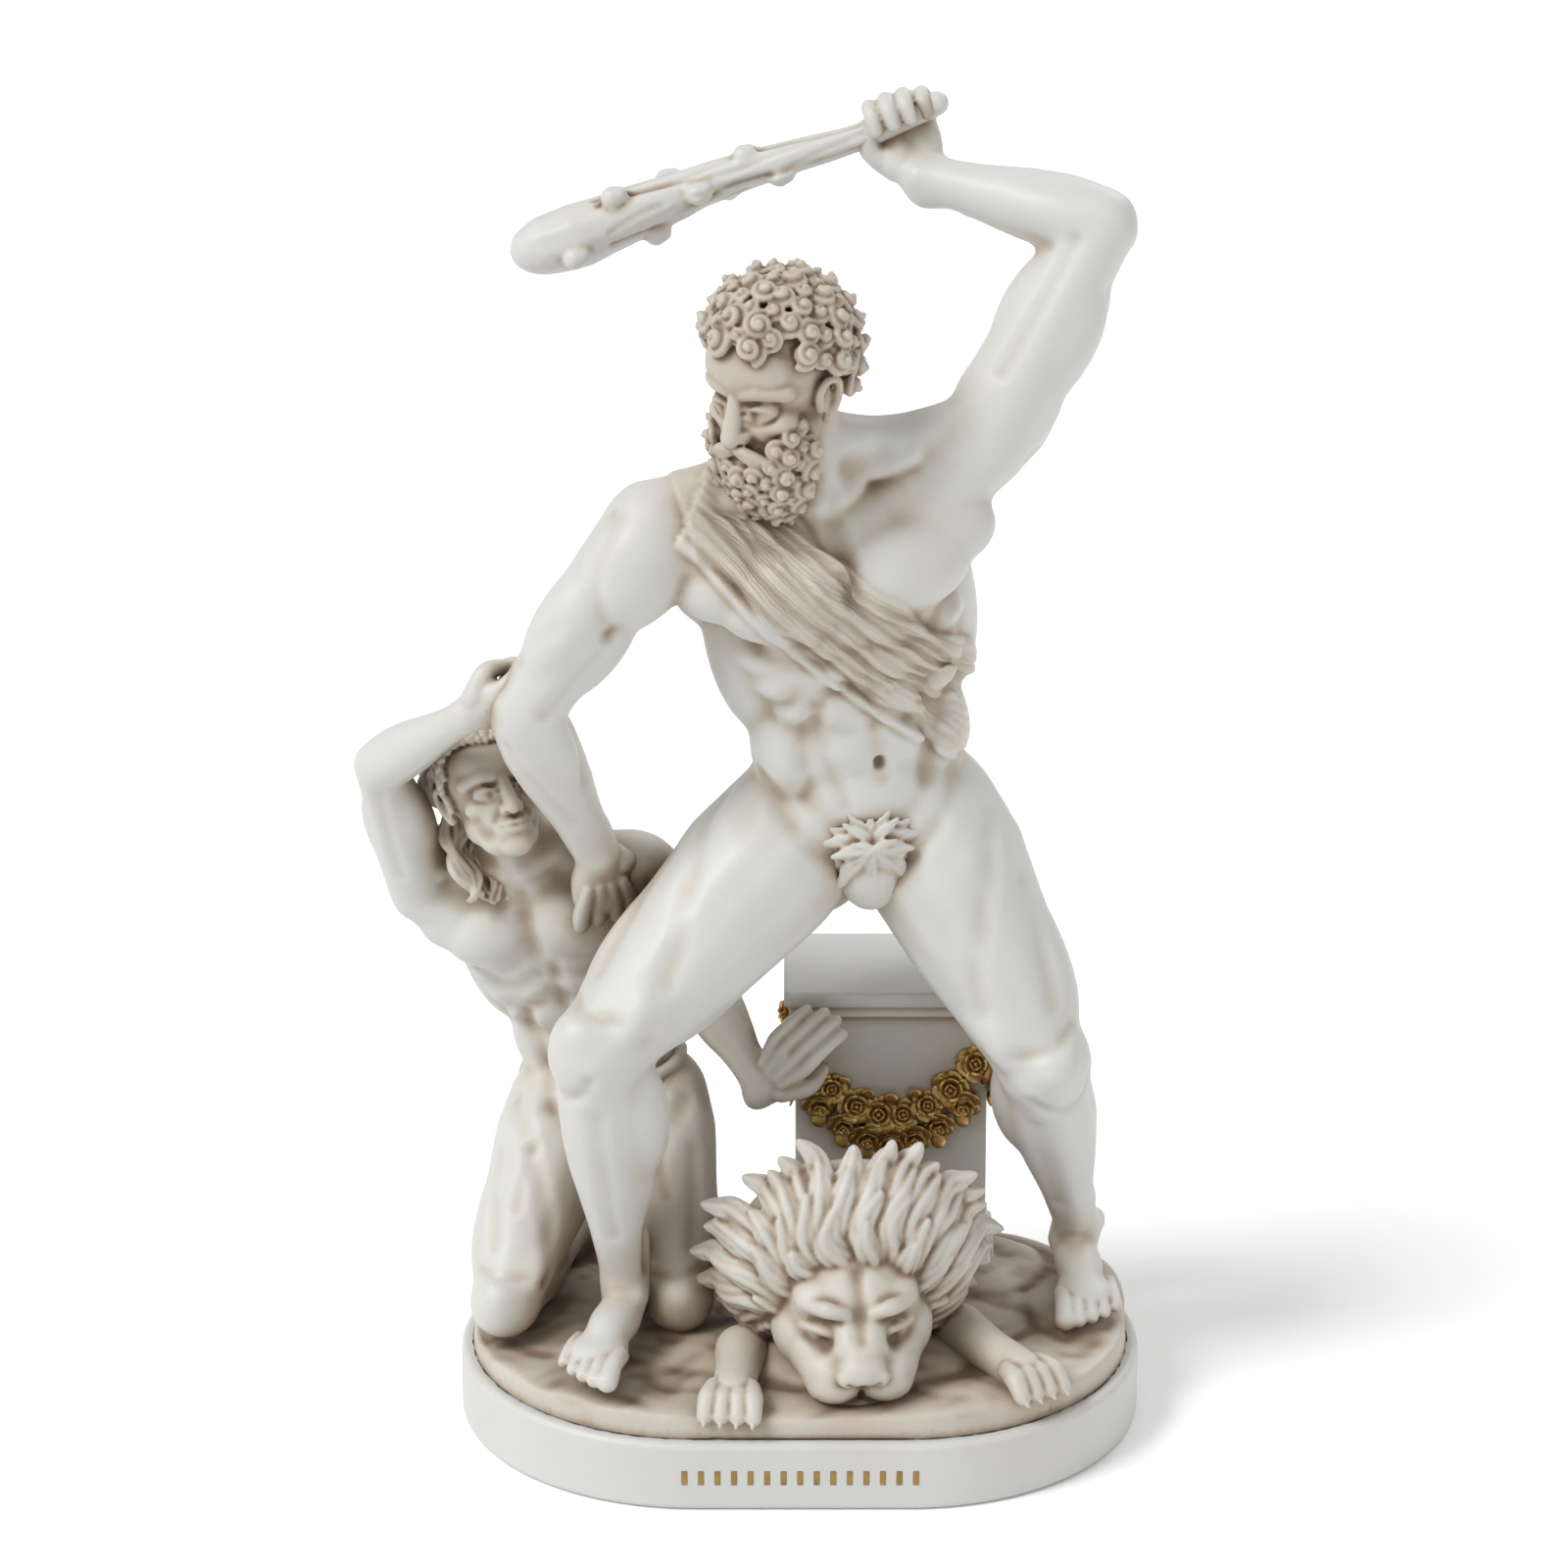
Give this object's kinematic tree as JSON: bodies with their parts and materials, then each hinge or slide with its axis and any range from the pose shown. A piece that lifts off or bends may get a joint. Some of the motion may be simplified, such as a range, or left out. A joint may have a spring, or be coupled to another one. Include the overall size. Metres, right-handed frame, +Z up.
{
  "type": "statuette",
  "caption": "Cast stone statuette: a bearded hero swings a club over a kneeling man, with a lion skin and a garlanded altar, on an oval plinth.",
  "frame": {"origin": "middle of the plinth's flat underside", "axes": "+Z up, -Y to the front with the strokes, +X to the left of the hero"},
  "size_m": [0.1778, 0.1081, 0.3063],
  "materials": {
    "plinth_alabaster": "smooth satin cast alabaster",
    "group_alabaster": "satin cast alabaster with a brown wash in its recesses"
  },
  "bodies": {
    "root": {"plinth": "plinth_alabaster", "figure_group": "group_alabaster"}
  },
  "joints": []
}
